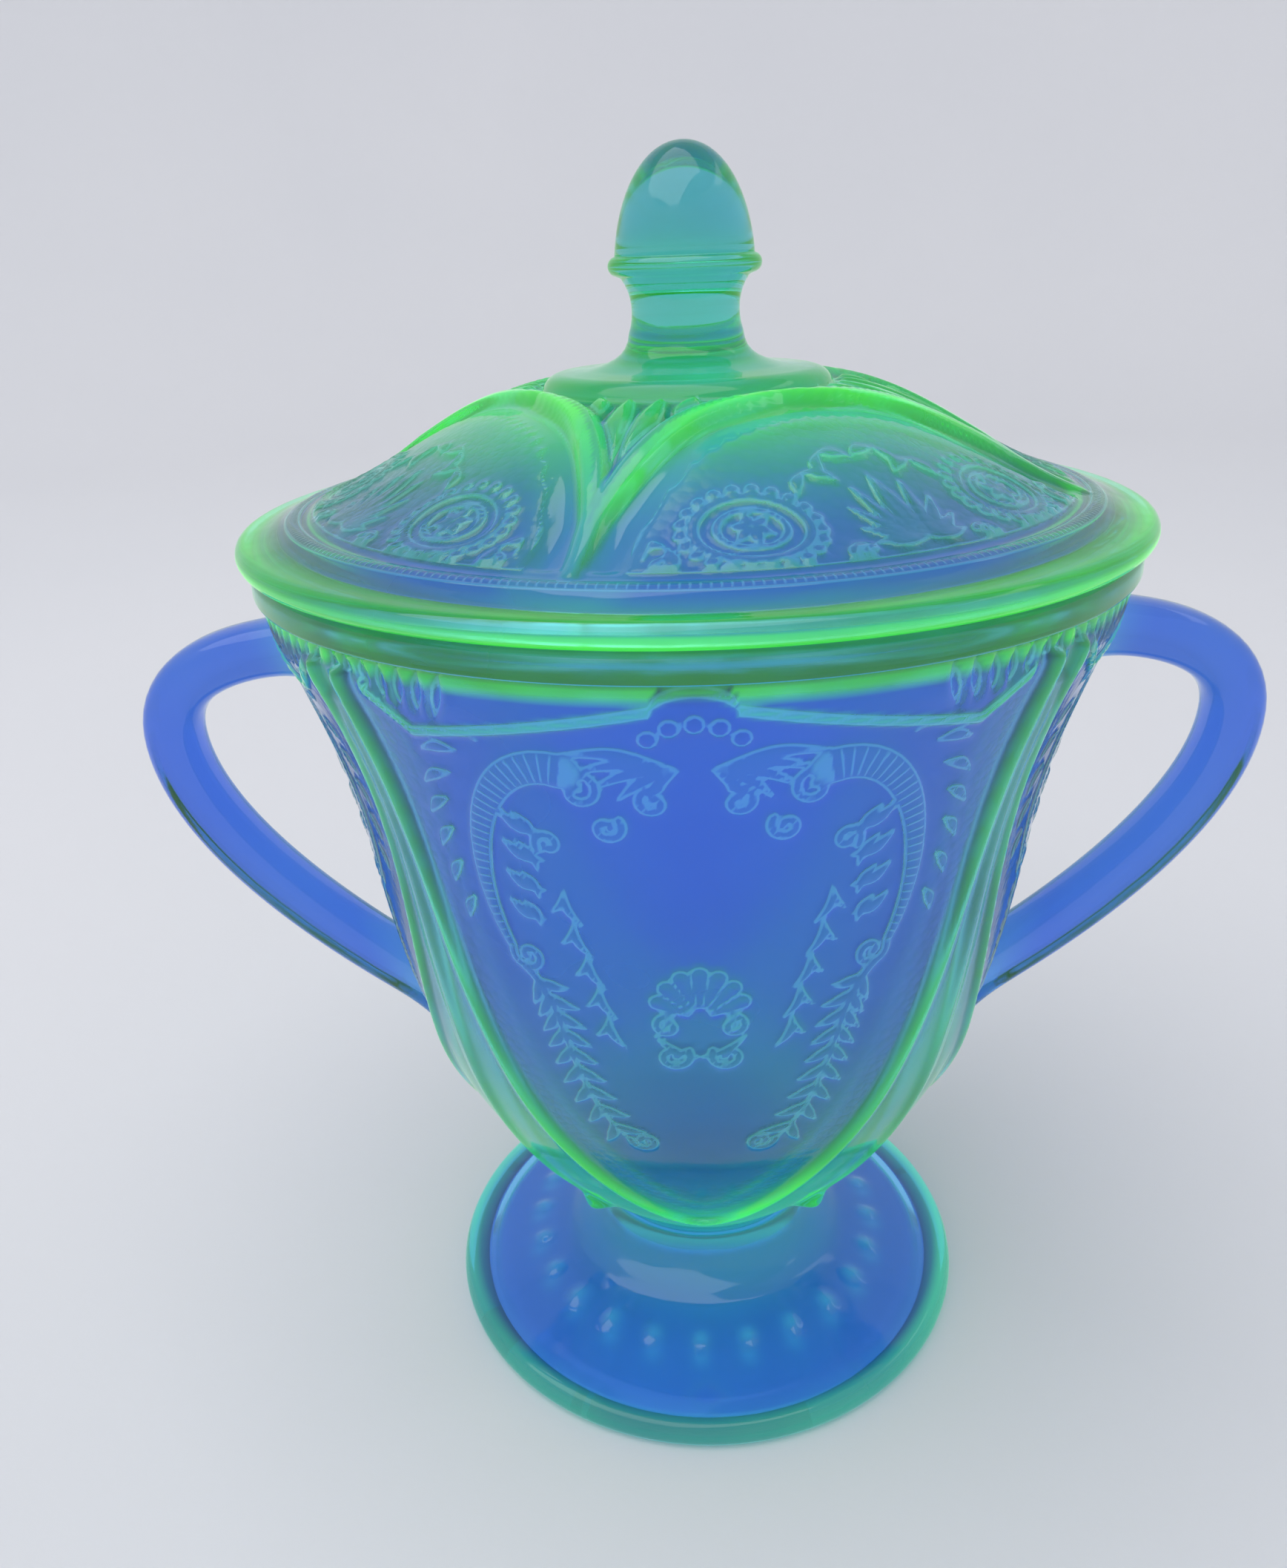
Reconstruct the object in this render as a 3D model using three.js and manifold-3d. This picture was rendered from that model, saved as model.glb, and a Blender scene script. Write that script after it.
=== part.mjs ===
// A covered, two-handled, footed sugar bowl in pressed uranium glass.
//
// Two loose pieces of glass: the bowl, moulded in one with its foot and its two handles, and the
// lid, moulded in one with its finial. Each moulded feature is a mesh of its own here, and where
// two of them are one glass on the real bowl their faces stand JOIN_GAP apart.
//
// Millimetres, +Z up. The origin is under the middle of the foot, on the surface it stands on. The
// handles lie along X. A profile is a list of (radius, height) points, counter-clockwise from the
// bottom of the axis to the top of it.

import * as THREE from 'three';
import { mergeVertices } from 'three/addons/utils/BufferGeometryUtils.js';
import Module from 'manifold-3d';

// ---- Driving dimensions -------------------------------------------------------------------------

const JOIN_GAP = 0.3;          // between two meshes that are one glass, or that rest on each other

// Foot
const FOOT_RADIUS = 37.2;
const FOOT_HEIGHT = 16.5;      // table to the top of the stem, where the cup begins
const FOOT_EDGE = 3.6;         // thickness of the disc's rounded edge
const FOOT_WALL = 3.6;         // glass over the hollow under the foot
const BASE_RING_WIDTH = 2.6;   // flat ring that the foot stands on
const STEM_RADIUS = 14.5;
const STEM_FLARE = 9.5;        // length of the curve from the stem down onto the disc

// Bowl
const BOWL_HEIGHT = 112.2;     // table to the top of the rim
const RIM_RADIUS = 51.3;       // outside of the collar under the rim
const COLLAR_HEIGHT = 3;       // plain upright band under the rim
const COLLAR_STEP = 0.8;       // how far the cup is set in under the collar
const SHOULDER_DROP = 7.2;     // rim to the end of the flare, where the side turns upright
const SHOULDER_STEP = 1.5;     // how far the end of the flare is set in from the collar
const BELLY_RADIUS = 38.3;     // where the cup turns from its rounded bottom to its flared side
const BELLY_RISE = 38.1;       // height of that turn above the stem
const BOWL_WALL = 3.8;
const CUP_FLOOR = 6;           // glass under the cup, over the stem
const RIM_ROUNDING = 1.1;

// Handles
const HANDLE_DROP = 13.5;      // rim to the middle of the handle's upper end
const HANDLE_SPAN = 53.2;      // between the middles of its two ends, measured upright
const HANDLE_REACH = 20.6;     // wall at the upper end to the middle of the loop where it is widest
const HANDLE_THICKNESS = 7.1;  // across the loop's glass, in the plane of the loop
const HANDLE_WIDTH = 8.6;      // across the loop's glass, out of that plane
const HANDLE_ROOT = 2.5;       // how far the loop's ends are led into the wall before the cut
const NUB_RADIUS = 4.2;        // drop of glass in the corner where each end meets the cup

// Lid
const LIP_OVERHANG = 1.2;      // lid past the collar
const LIP_THICKNESS = 2.6;     // rounded edge of the lid
const FLANGE_WIDTH = 6.3;      // gently sloping rim outside the dome
const FLANGE_RISE = 1.2;       // height that the flange gains over its width
const DOME_RISE = 12;          // inner edge of the flange to the outer edge of the crown
const CROWN_RADIUS = 16.7;     // round table on top of the dome that carries the finial
const CROWN_RISE = 1.9;        // its bevelled edge
const CROWN_BEVEL = 2.4;
const LID_WALL = 3.6;
const SEAT_CLEARANCE = 0.9;    // locating ring to the inside of the bowl, all round
const SEAT_DEPTH = 2.8;        // how far the locating ring drops into the bowl
const SEAT_WIDTH = 2.4;

// Finial
const FINIAL_SET_IN = 2.1;     // crown's flat top past the foot of the finial
const NECK_RADIUS = 6.1;
const NECK_HEIGHT = 9.9;       // crown to the underside of the collar round the knob
const KNOB_COLLAR_RADIUS = 8.6;
const KNOB_COLLAR_HEIGHT = 2.1;
const KNOB_RADIUS = 7.8;
const KNOB_HEIGHT = 11;        // above its collar

// Smoothness
const ROUND_SEGMENTS = 44;     // facets round the bowl and the lid
const SMALL_SEGMENTS = 28;     // facets round the finial
const CURVE_STEPS = 7;         // chords in each long curve of a profile
const EDGE_STEPS = 3;          // chords in each rounded edge
const LOOP_STEPS = 24;         // rings along a handle
const SECTION_POINTS = 14;     // corners of a handle's section

// ---- Sizes that follow ----------------------------------------------------------------------------

const CUP_BOTTOM = FOOT_HEIGHT + JOIN_GAP;
const COLLAR_BASE = BOWL_HEIGHT - COLLAR_HEIGHT;
const LIP_RADIUS = RIM_RADIUS + LIP_OVERHANG;
const SEAT_HEIGHT = BOWL_HEIGHT + JOIN_GAP;
const SEAT_RADIUS = RIM_RADIUS - BOWL_WALL - SEAT_CLEARANCE;
const FLANGE_TOP = SEAT_HEIGHT + LIP_THICKNESS + FLANGE_RISE;
const DOME_RADIUS = LIP_RADIUS - FLANGE_WIDTH;
const CROWN_BASE = FLANGE_TOP + DOME_RISE;
const CROWN_TOP = CROWN_BASE + CROWN_RISE;
const FLARE_RADIUS = CROWN_RADIUS - CROWN_BEVEL - FINIAL_SET_IN;
const HANDLE_TOP = BOWL_HEIGHT - HANDLE_DROP;
const HANDLE_BOTTOM = HANDLE_TOP - HANDLE_SPAN;

// ---- Materials ------------------------------------------------------------------------------------

const glass = (name, color) => {
  const material = new THREE.MeshStandardMaterial({ color, roughness: 0.08, metalness: 0 });
  material.name = name;
  material.transparent = true;
  material.opacity = 0.6;
  return material;
};
const bowlGlass = glass('uranium_glass_bowl', 0x5fae9e);
const lidGlass = glass('uranium_glass_lid', 0x5fb87a);

// ---- Profiles -------------------------------------------------------------------------------------

const point = (radius, height) => new THREE.Vector2(radius, height);

// Points of a cubic curve, without its first one, so that stretches join end to end.
const curveTo = (from, leave, arrive, to, steps = CURVE_STEPS) =>
  new THREE.CubicBezierCurve(from, leave, arrive, to).getPoints(steps).slice(1);

// A round edge: an arc about a centre, between two angles measured from straight outwards.
function arc(centre, radius, startAngle, endAngle, steps = EDGE_STEPS) {
  const points = [];
  for (let i = 0; i <= steps; i += 1) {
    const angle = THREE.MathUtils.lerp(startAngle, endAngle, i / steps);
    points.push(point(centre.x + radius * Math.cos(angle), centre.y + radius * Math.sin(angle)));
  }
  return points;
}

// The same curve moved sideways, to its left as it is walked for a positive distance.
function offset(points, distance) {
  return points.map((here, i) => {
    const before = points[Math.max(i - 1, 0)];
    const after = points[Math.min(i + 1, points.length - 1)];
    const along = after.clone().sub(before).normalize();
    return point(here.x - along.y * distance, here.y + along.x * distance);
  });
}

// The cup's outer side, from the stem up to the foot of the collar: a rounded bottom that turns into
// a flared side, and a shoulder that stands it upright under the collar.
function cupSide() {
  const stem = point(STEM_RADIUS, CUP_BOTTOM);
  const belly = point(BELLY_RADIUS, CUP_BOTTOM + BELLY_RISE);
  const shoulder = point(RIM_RADIUS - SHOULDER_STEP, BOWL_HEIGHT - SHOULDER_DROP);
  const top = point(RIM_RADIUS - COLLAR_STEP, COLLAR_BASE);
  const bellySlope = point(0.25, 1);
  const lower = curveTo(
    stem,
    stem.clone().add(point(BELLY_RISE * 0.28, BELLY_RISE * 0.25)),
    belly.clone().addScaledVector(bellySlope, -BELLY_RISE * 0.38),
    belly,
  );
  const flare = shoulder.y - belly.y;
  const upper = curveTo(
    belly,
    belly.clone().addScaledVector(bellySlope, flare * 0.4),
    shoulder.clone().sub(point(flare * 0.16, flare * 0.36)),
    shoulder,
  );
  const turn = curveTo(
    shoulder,
    point(THREE.MathUtils.lerp(shoulder.x, top.x, 0.7), shoulder.y + (top.y - shoulder.y) * 0.3),
    point(top.x, shoulder.y + (top.y - shoulder.y) * 0.6),
    top,
    2,
  );
  return [stem, ...lower, ...upper, ...turn];
}

const cupOutline = cupSide();

// The cup's outer radius at a height.
function wallRadius(height) {
  const i = Math.max(1, cupOutline.findIndex((p) => p.y >= height));
  const below = cupOutline[i - 1];
  const above = cupOutline[i];
  return THREE.MathUtils.mapLinear(height, below.y, above.y, below.x, above.x);
}

function bowlProfile() {
  const floor = CUP_BOTTOM + CUP_FLOOR;
  const inside = offset(cupOutline, BOWL_WALL).filter((p) => p.y > floor + 1 && p.y < COLLAR_BASE);
  const rimInside = RIM_RADIUS - BOWL_WALL;
  const lowest = inside[0];
  const rimTop = BOWL_HEIGHT - RIM_ROUNDING;
  return [
    point(0, CUP_BOTTOM),
    ...cupOutline,
    point(RIM_RADIUS, COLLAR_BASE + COLLAR_STEP / 2),
    ...arc(point(RIM_RADIUS - RIM_ROUNDING, rimTop), RIM_ROUNDING, 0, Math.PI / 2),
    ...arc(point(rimInside + RIM_ROUNDING, rimTop), RIM_ROUNDING, Math.PI / 2, Math.PI),
    point(rimInside, COLLAR_BASE),
    ...inside.reverse(),
    ...curveTo(
      lowest,
      point(lowest.x - 2, lowest.y - 1),
      point(lowest.x * 0.5, floor),
      point(0, floor),
      EDGE_STEPS,
    ),
  ];
}

function footProfile() {
  const ringInside = FOOT_RADIUS - FOOT_EDGE / 2 - BASE_RING_WIDTH;
  const discTop = FOOT_EDGE;
  const edge = arc(
    point(FOOT_RADIUS - FOOT_EDGE / 2, FOOT_EDGE / 2), FOOT_EDGE / 2, -Math.PI / 2, Math.PI / 2, 8);
  const discInside = edge[edge.length - 1];
  const stemBase = point(STEM_RADIUS, FOOT_HEIGHT - 2);
  const upperSide = curveTo(
    discInside,
    point(THREE.MathUtils.lerp(discInside.x, STEM_RADIUS, 0.45), discTop + 2.2),
    point(STEM_RADIUS + 1.2, stemBase.y - STEM_FLARE * 0.8),
    stemBase,
  );
  const ceiling = FOOT_HEIGHT - STEM_FLARE;
  return [
    point(0, ceiling),
    ...curveTo(
      point(0, ceiling),
      point(STEM_RADIUS * 0.8, ceiling),
      point(STEM_RADIUS + 2, discTop + 2.8 - FOOT_WALL),
      point(ringInside - 1, 1.2),
      6,
    ),
    point(ringInside, 0),
    ...edge,
    ...upperSide,
    point(STEM_RADIUS, FOOT_HEIGHT),
    point(0, FOOT_HEIGHT),
  ];
}

function lidProfile() {
  const lipRounding = LIP_THICKNESS / 2;
  const lip = arc(
    point(LIP_RADIUS - lipRounding, SEAT_HEIGHT + lipRounding), lipRounding, -Math.PI / 2,
    Math.PI / 2, 6);
  const flangeEnd = point(DOME_RADIUS, FLANGE_TOP);
  const crownEdge = point(CROWN_RADIUS, CROWN_BASE);
  const run = DOME_RADIUS - CROWN_RADIUS;
  const dome = curveTo(
    flangeEnd,
    point(DOME_RADIUS - run * 0.35, FLANGE_TOP + DOME_RISE * 0.18),
    point(CROWN_RADIUS + run * 0.37, CROWN_BASE - DOME_RISE * 0.1),
    crownEdge,
  );
  const ringInside = SEAT_RADIUS - SEAT_WIDTH;
  const hollow = offset([flangeEnd, ...dome], LID_WALL).filter((p) => p.x < ringInside - 1);
  const ceiling = CROWN_BASE - LID_WALL;
  const hollowTop = hollow[hollow.length - 1];
  return [
    point(0, ceiling),
    point(hollowTop.x, Math.min(hollowTop.y, ceiling)),
    ...hollow.slice(0, -1).reverse(),
    point(ringInside, SEAT_HEIGHT - SEAT_DEPTH + 0.6),
    point(ringInside + 0.8, SEAT_HEIGHT - SEAT_DEPTH),
    point(SEAT_RADIUS - 0.8, SEAT_HEIGHT - SEAT_DEPTH),
    point(SEAT_RADIUS, SEAT_HEIGHT - SEAT_DEPTH + 0.8),
    point(SEAT_RADIUS, SEAT_HEIGHT),
    ...lip,
    flangeEnd,
    ...dome,
    point(CROWN_RADIUS - CROWN_BEVEL, CROWN_TOP),
    point(0, CROWN_TOP),
  ];
}

function finialProfile() {
  const base = CROWN_TOP + JOIN_GAP;
  const collarBase = base + NECK_HEIGHT;
  const collarMiddle = collarBase + KNOB_COLLAR_HEIGHT / 2;
  const knobBase = collarBase + KNOB_COLLAR_HEIGHT;
  const flareTop = point(NECK_RADIUS + 0.4, base + NECK_HEIGHT * 0.4);
  const collarRounding = KNOB_COLLAR_HEIGHT / 2;
  return [
    point(0, base),
    point(FLARE_RADIUS, base),
    ...curveTo(
      point(FLARE_RADIUS, base),
      point(NECK_RADIUS + 1.6, base + 0.8),
      point(NECK_RADIUS + 0.6, base + NECK_HEIGHT * 0.2),
      flareTop,
      5,
    ),
    point(NECK_RADIUS, base + NECK_HEIGHT * 0.72),
    point(NECK_RADIUS + 0.6, collarBase - 0.6),
    ...arc(
      point(KNOB_COLLAR_RADIUS - collarRounding, collarMiddle), collarRounding, -Math.PI / 2,
      Math.PI / 2, EDGE_STEPS),
    point(KNOB_RADIUS, knobBase),
    ...curveTo(
      point(KNOB_RADIUS, knobBase),
      point(KNOB_RADIUS - 0.5, knobBase + KNOB_HEIGHT * 0.52),
      point(KNOB_RADIUS * 0.58, knobBase + KNOB_HEIGHT),
      point(0, knobBase + KNOB_HEIGHT),
    ),
  ];
}

// ---- Solids ---------------------------------------------------------------------------------------

const wasm = await Module();
wasm.setup();

// A closed mesh with shared vertices: positions only, and no triangle that has shrunk to a line.
function weld(geometry) {
  geometry.deleteAttribute('normal');
  geometry.deleteAttribute('uv');
  const welded = mergeVertices(geometry);
  const corners = welded.index.array;
  const kept = [];
  for (let i = 0; i < corners.length; i += 3) {
    const [a, b, c] = corners.subarray(i, i + 3);
    if (a !== b && b !== c && c !== a) kept.push(a, b, c);
  }
  welded.setIndex(kept);
  return welded;
}

// A profile turned about the upright axis.
function turned(profile, segments = ROUND_SEGMENTS) {
  const geometry = new THREE.LatheGeometry(profile, segments);
  geometry.rotateX(Math.PI / 2);
  return weld(geometry);
}

function toManifold(geometry) {
  return new wasm.Manifold(new wasm.Mesh({
    numProp: 3,
    vertProperties: Float32Array.from(geometry.attributes.position.array),
    triVerts: Uint32Array.from(geometry.index.array),
  }));
}

function toGeometry(manifold) {
  const { vertProperties, triVerts } = manifold.getMesh();
  const geometry = new THREE.BufferGeometry();
  geometry.setAttribute('position', new THREE.BufferAttribute(vertProperties, 3));
  geometry.setIndex(new THREE.BufferAttribute(triVerts, 1));
  return geometry;
}

// The middle line of the right-hand handle: out of the wall level, round the top of the loop, and
// back down into the wall on a slant.
function handleLine() {
  const wallTop = wallRadius(HANDLE_TOP);
  const wallBottom = wallRadius(HANDLE_BOTTOM);
  const upperEnd = new THREE.Vector3(wallTop - HANDLE_ROOT, 0, HANDLE_TOP);
  const widest = new THREE.Vector3(wallTop + HANDLE_REACH, 0, HANDLE_TOP - HANDLE_SPAN * 0.22);
  const lowerEnd = new THREE.Vector3(wallBottom - HANDLE_ROOT, 0, HANDLE_BOTTOM);
  const reach = widest.x - upperEnd.x;
  const fall = widest.z - lowerEnd.z;
  const line = new THREE.CurvePath();
  line.add(new THREE.CubicBezierCurve3(
    upperEnd,
    new THREE.Vector3(upperEnd.x + reach * 0.75, 0, HANDLE_TOP + 0.4),
    new THREE.Vector3(widest.x, 0, widest.z + (HANDLE_TOP - widest.z) * 0.56),
    widest,
  ));
  line.add(new THREE.CubicBezierCurve3(
    widest,
    new THREE.Vector3(widest.x, 0, widest.z - fall * 0.34),
    new THREE.Vector3(lowerEnd.x + fall * 0.42, 0, lowerEnd.z + fall * 0.27),
    lowerEnd,
  ));
  return line;
}

// A squarish oval, flatter than an ellipse on its four sides.
function handleSection() {
  const squareness = 0.75;
  const squash = (value) => Math.sign(value) * Math.abs(value) ** squareness;
  const outline = [];
  for (let i = 0; i < SECTION_POINTS; i += 1) {
    const angle = (2 * Math.PI * (i + 0.5)) / SECTION_POINTS;
    outline.push(point(
      (HANDLE_WIDTH / 2) * squash(Math.cos(angle)),
      (HANDLE_THICKNESS / 2) * squash(Math.sin(angle)),
    ));
  }
  return new THREE.Shape(outline);
}

// A drop of glass in the corner between the cup and one end of a handle.
function nub(height) {
  const ball = new THREE.SphereGeometry(NUB_RADIUS, 12, 8);
  ball.scale(1, 0.9, 1.25);
  ball.translate(wallRadius(height) + 0.4, 0, height);
  return toManifold(weld(ball));
}

// The right-hand handle, cut off where it meets the outside of the cup.
function handleSolid() {
  const line = handleLine();
  const loop = new THREE.ExtrudeGeometry(handleSection(), {
    steps: LOOP_STEPS,
    extrudePath: line,
    bevelEnabled: false,
    curveSegments: 1,
  });
  const nubDrop = HANDLE_THICKNESS / 2;
  const blank = turned([
    point(0, CUP_BOTTOM),
    ...offset(cupOutline, -JOIN_GAP),
    point(RIM_RADIUS + JOIN_GAP, COLLAR_BASE),
    point(RIM_RADIUS + JOIN_GAP, BOWL_HEIGHT),
    point(0, BOWL_HEIGHT),
  ]);
  const solid = toManifold(weld(loop))
    .add(nub(HANDLE_TOP - nubDrop))
    .add(nub(HANDLE_BOTTOM - nubDrop))
    .subtract(toManifold(blank));
  return toGeometry(solid);
}

// ---- The object -------------------------------------------------------------------------------------

function mesh(name, geometry, material) {
  geometry.computeVertexNormals();
  const piece = new THREE.Mesh(geometry, material);
  piece.name = name;
  return piece;
}

const bowlGroup = new THREE.Group();
bowlGroup.add(mesh('bowl', turned(bowlProfile()), bowlGlass));
bowlGroup.add(mesh('foot', turned(footProfile()), bowlGlass));
const handle = handleSolid();
for (const [side, turn] of [['right', 0], ['left', Math.PI]]) {
  const loop = mesh(`handle_${side}`, handle, bowlGlass);
  loop.rotation.z = turn;
  bowlGroup.add(loop);
}

const lidGroup = new THREE.Group();
lidGroup.add(mesh('lid', turned(lidProfile()), lidGlass));
lidGroup.add(mesh('finial', turned(finialProfile(), SMALL_SEGMENTS), lidGlass));

const sugarBowl = new THREE.Group();
sugarBowl.add(bowlGroup, lidGroup);

export default sugarBowl;
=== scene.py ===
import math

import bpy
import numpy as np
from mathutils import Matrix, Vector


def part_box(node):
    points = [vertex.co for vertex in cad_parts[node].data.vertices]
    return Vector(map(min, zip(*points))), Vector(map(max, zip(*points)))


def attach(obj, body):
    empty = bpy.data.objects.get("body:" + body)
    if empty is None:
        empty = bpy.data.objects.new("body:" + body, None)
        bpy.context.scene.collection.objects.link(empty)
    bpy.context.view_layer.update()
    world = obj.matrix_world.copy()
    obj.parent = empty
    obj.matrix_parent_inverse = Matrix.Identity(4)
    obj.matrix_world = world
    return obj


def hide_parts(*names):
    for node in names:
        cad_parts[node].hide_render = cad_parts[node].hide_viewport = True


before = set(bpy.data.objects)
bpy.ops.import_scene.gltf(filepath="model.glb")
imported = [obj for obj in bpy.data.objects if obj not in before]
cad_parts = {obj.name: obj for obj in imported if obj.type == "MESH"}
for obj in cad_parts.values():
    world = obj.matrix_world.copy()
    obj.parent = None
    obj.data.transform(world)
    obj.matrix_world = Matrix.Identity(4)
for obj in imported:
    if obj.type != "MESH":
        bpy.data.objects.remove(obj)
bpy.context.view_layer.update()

# The looks of a covered, two-handled, footed sugar bowl in pressed uranium glass.
#
# The real object is two pieces of glass, so two closed meshes stand for it: bowl_glass takes the
# place of the cup, the foot and the two handles, and lid_glass that of the lid and its finial. Both
# are turned from a profile, with the moulded relief pushed out of the surface point by point.
#
# Shapes are worked out in millimetres in the frame of the CAD model and turned into metres as each
# mesh is made. Angles about the upright axis are measured from the front (-Y) towards +X.

MM = 0.001


def box_mm(node):
    low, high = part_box(node)
    return np.array(low) / MM, np.array(high) / MM


# ---- Sizes from the frame -------------------------------------------------------------------------

bowl_low, bowl_high = box_mm("bowl")
foot_high = box_mm("foot")[1]
lid_low, lid_high = box_mm("lid")
finial_high = box_mm("finial")[1]
handle_high = box_mm("handle_right")[1]

RIM_RADIUS = bowl_high[0]
BOWL_HEIGHT = bowl_high[2]
CUP_BOTTOM = bowl_low[2]
FOOT_RADIUS = foot_high[0]
FOOT_HEIGHT = foot_high[2]
LIP_RADIUS = lid_high[0]
CROWN_TOP = lid_high[2]
SEAT_BOTTOM = lid_low[2]
FINIAL_TOP = finial_high[2]
HANDLE_OUTSIDE = handle_high[0]

# ---- Sizes of the glass ---------------------------------------------------------------------------

JOIN_GAP = 0.3          # between CAD meshes that are one glass, and between the rim and the lid

BOWL_WALL = 3.8
CUP_FLOOR = 6.0         # glass under the cup
COLLAR_BASE = BOWL_HEIGHT - 3.0
COLLAR_STEP = 0.8
COLLAR_ROUNDING = 0.4
RIM_ROUNDING = 1.1
SHOULDER_RADIUS = RIM_RADIUS - 1.5
SHOULDER_HEIGHT = BOWL_HEIGHT - 7.2
BELLY_RADIUS = 38.3
BELLY_HEIGHT = CUP_BOTTOM + 38.1
STEM_RADIUS = 14.5
STEM_FLARE = 9.5
FOOT_EDGE = 3.6
BASE_RING_WIDTH = 2.6

LIP_THICKNESS = 2.6
SEAT_HEIGHT = BOWL_HEIGHT + JOIN_GAP
FLANGE_TOP = SEAT_HEIGHT + LIP_THICKNESS + 1.2
DOME_RADIUS = LIP_RADIUS - 6.3
CROWN_RADIUS = 16.7
CROWN_BASE = CROWN_TOP - 1.9
CROWN_BEVEL = 2.4
LID_WALL = 3.6
SEAT_RADIUS = RIM_RADIUS - BOWL_WALL - 0.9
SEAT_WIDTH = 2.4

NECK_RADIUS = 6.1
NECK_HEIGHT = 9.9
FLARE_RADIUS = finial_high[0]
KNOB_COLLAR_RADIUS = 8.6
KNOB_COLLAR_HEIGHT = 2.1
KNOB_RADIUS = 7.8

HANDLE_TOP = BOWL_HEIGHT - 13.5
HANDLE_SPAN = 53.2
HANDLE_THICKNESS = 7.1  # in the plane of the loop
HANDLE_WIDTH = 8.4      # out of that plane
HANDLE_ROOT = 2.5       # how far its ends reach into the wall
HANDLE_SWELL = 0.32     # how much thicker it is at its ends, as a share
HANDLE_SWELL_LENGTH = 5.0
HANDLE_SQUARENESS = 0.78
NUB_RADIUS = 4.0        # drop of glass in the corner under each end of a handle
NUB_OUT = 0.5           # its middle, out from the wall
NUB_HEIGHTS = (HANDLE_TOP - HANDLE_THICKNESS / 2 - 1, HANDLE_TOP - HANDLE_SPAN - 4.4)

COLUMNS = 640           # points round a turned mesh
OUTER_STEP = 0.55       # between the rows that carry relief
FOOT_STEP = 0.9
KNOB_STEP = 0.8
PLAIN_STEP = 2.2        # between the rows that don't
WALL_STEP = 3.52        # between the rows of long plain walls
HANDLE_STEP = 1.3       # between the rings along a handle
HANDLE_CORNERS = 28     # points round each of those rings

# ---- Profiles -------------------------------------------------------------------------------------


def bezier(start, leave, arrive, end, count=200):
    t = np.linspace(0, 1, count)[:, None]
    a, b, c, d = (np.array(p, float) for p in (start, leave, arrive, end))
    return a * (1 - t) ** 3 + 3 * b * t * (1 - t) ** 2 + 3 * c * t**2 * (1 - t) + d * t**3


def arc(centre, radius, start, end, count=7):
    angle = np.radians(np.linspace(start, end, count))
    return np.array(centre) + radius * np.stack([np.cos(angle), np.sin(angle)], -1)


def respaced(points, step):
    """The same curve with points about step apart."""
    points = np.asarray(points, float)
    length = np.concatenate([[0], np.cumsum(np.linalg.norm(np.diff(points, axis=0), axis=1))])
    keep = np.concatenate([[True], np.diff(length) > 1e-9])
    points, length = points[keep], length[keep]
    at = np.linspace(0, length[-1], max(2, round(length[-1] / step) + 1))
    return np.stack([np.interp(at, length, points[:, i]) for i in (0, 1)], -1)


def offset(points, distance):
    """The curve moved to its left as it is walked."""
    along = np.gradient(points, axis=0)
    along /= np.linalg.norm(along, axis=1)[:, None]
    return points + distance * np.stack([-along[:, 1], along[:, 0]], -1)


def cup_side():
    stem = np.array([STEM_RADIUS, CUP_BOTTOM])
    belly = np.array([BELLY_RADIUS, BELLY_HEIGHT])
    shoulder = np.array([SHOULDER_RADIUS, SHOULDER_HEIGHT])
    top = np.array([RIM_RADIUS - COLLAR_STEP, COLLAR_BASE])
    slope = np.array([0.25, 1])
    rise = BELLY_HEIGHT - CUP_BOTTOM
    flare = shoulder[1] - belly[1]
    turn = top - shoulder
    lower = bezier(stem, stem + rise * np.array([0.28, 0.25]), belly - 0.38 * rise * slope, belly)
    upper = bezier(
        belly, belly + 0.4 * flare * slope, shoulder - flare * np.array([0.16, 0.36]), shoulder)
    collar_turn = bezier(
        shoulder, shoulder + turn * [0.7, 0.3], [top[0], shoulder[1] + 0.6 * turn[1]], top)
    return np.concatenate([lower, upper[1:], collar_turn[1:]])


CUP_SIDE = cup_side()


def cup_radius(height):
    return np.interp(height, CUP_SIDE[:, 1], CUP_SIDE[:, 0])


def foot_side():
    """From the top of the rounded edge over the disc to the stem."""
    edge = np.array([FOOT_RADIUS - FOOT_EDGE / 2, FOOT_EDGE])
    stem = np.array([STEM_RADIUS, FOOT_HEIGHT - 2])
    shoulder = edge[0] + 0.45 * (STEM_RADIUS - edge[0])
    return bezier(
        edge, [shoulder, FOOT_EDGE + 2.2], [STEM_RADIUS + 1.2, stem[1] - 0.8 * STEM_FLARE], stem)


FOOT_SIDE = foot_side()
FOOT_SIDE_INWARDS = FOOT_SIDE[::-1]


def foot_top(radius):
    return np.interp(radius, FOOT_SIDE_INWARDS[:, 0], FOOT_SIDE_INWARDS[:, 1])


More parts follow.
